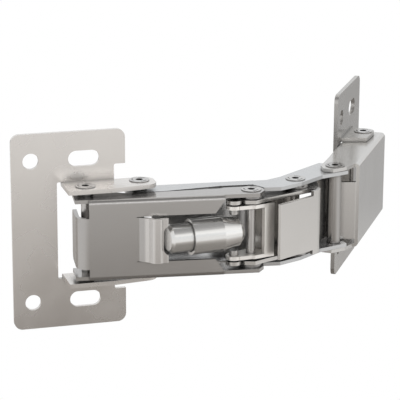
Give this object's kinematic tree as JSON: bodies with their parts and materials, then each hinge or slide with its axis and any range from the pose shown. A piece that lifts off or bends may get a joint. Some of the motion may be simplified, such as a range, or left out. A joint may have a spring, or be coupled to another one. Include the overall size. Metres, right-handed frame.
{
  "type": "concealed cabinet hinge",
  "caption": "Sprung wide-angle concealed hinge: pressed steel links folding between screw-on plates, modelled fully open.",
  "frame": {"origin": "on the fixed plate's back face, midway between its two round screw holes", "axes": "+Z along the pivot pins; +Y into the panel the fixed plate is screwed to; +X along that plate's width, towards the door plate with the hinge open"},
  "size_m": [0.1533, 0.0873, 0.07],
  "materials": {
    "plate_steel": "satin nickel plate",
    "link_steel": "satin nickel plate",
    "pin_steel": "bright plated",
    "cartridge_steel": "polished",
    "spring_steel": "oiled wire"
  },
  "bodies": {
    "cabinet_side": {"fixed_plate": "plate_steel", "front_pin": "pin_steel", "rear_pin": "pin_steel", "front_washers": "pin_steel", "rear_washers": "pin_steel"},
    "front_arm": {"front_arm": "link_steel", "elbow_pin": "pin_steel", "elbow_washers": "pin_steel"},
    "rear_arm": {"rear_arm": "link_steel", "scissor_pin": "pin_steel", "scissor_washers": "pin_steel"},
    "cross_link": {"cross_link": "link_steel", "spring_lever": "link_steel", "spring_stubs": "pin_steel"},
    "end_link": {"end_link": "link_steel", "wrist_pin": "pin_steel"},
    "door_side": {"door_plate": "plate_steel", "outer_door_pin": "pin_steel", "inner_door_pin": "pin_steel", "inner_door_washers": "pin_steel"},
    "spring_piston": {"spring_piston": "cartridge_steel"},
    "spring_sleeve": {"spring_sleeve": "cartridge_steel", "coil_spring": "spring_steel"}
  },
  "joints": [
    {"name": "fold", "type": "hinge", "parent": "cabinet_side", "child": "front_arm", "pos_m": [0.0175, -0.0083, 0], "axis": [0, 0, 1], "range_deg": [-100.84, 0]},
    {"name": "rear_arm_turn", "type": "hinge", "parent": "cabinet_side", "child": "rear_arm", "pos_m": [0.0372, -0.00545, 0], "axis": [0, 0, 1], "range_deg": [-109.76, 0]},
    {"name": "elbow_turn", "type": "hinge", "parent": "front_arm", "child": "cross_link", "pos_m": [0.0742, -0.01685, 0], "axis": [0, 0, 1], "range_deg": [0, 82.03]},
    {"name": "wrist_turn", "type": "hinge", "parent": "rear_arm", "child": "end_link", "pos_m": [0.1114, 0.0011, 0], "axis": [0, 0, 1], "range_deg": [0, 79.42]},
    {"name": "door_turn", "type": "hinge", "parent": "end_link", "child": "door_side", "pos_m": [0.13689, 0.04059, 0], "axis": [0, 0, 1], "range_deg": [-120.61, 0]},
    {"name": "spring_tilt", "type": "hinge", "parent": "front_arm", "child": "spring_piston", "pos_m": [0.0434, -0.0208, 0], "axis": [0, 0, 1], "range_deg": [-19.89, 0]},
    {"name": "spring_slide", "type": "slide", "parent": "spring_piston", "child": "spring_sleeve", "axis": [0.9947, 0.1028, 0], "range_m": [0, 0.00428]}
  ],
  "couplings": [
    {"joint": "rear_arm_turn", "follows": "fold", "ratio": 1.0671},
    {"joint": "elbow_turn", "follows": "fold", "ratio": -0.7975},
    {"joint": "wrist_turn", "follows": "fold", "ratio": -0.77211},
    {"joint": "door_turn", "follows": "fold", "ratio": 1.1726},
    {"joint": "spring_tilt", "follows": "fold", "ratio": 0.19338},
    {"joint": "spring_slide", "follows": "fold", "m_per_rad": -0.002386}
  ]
}
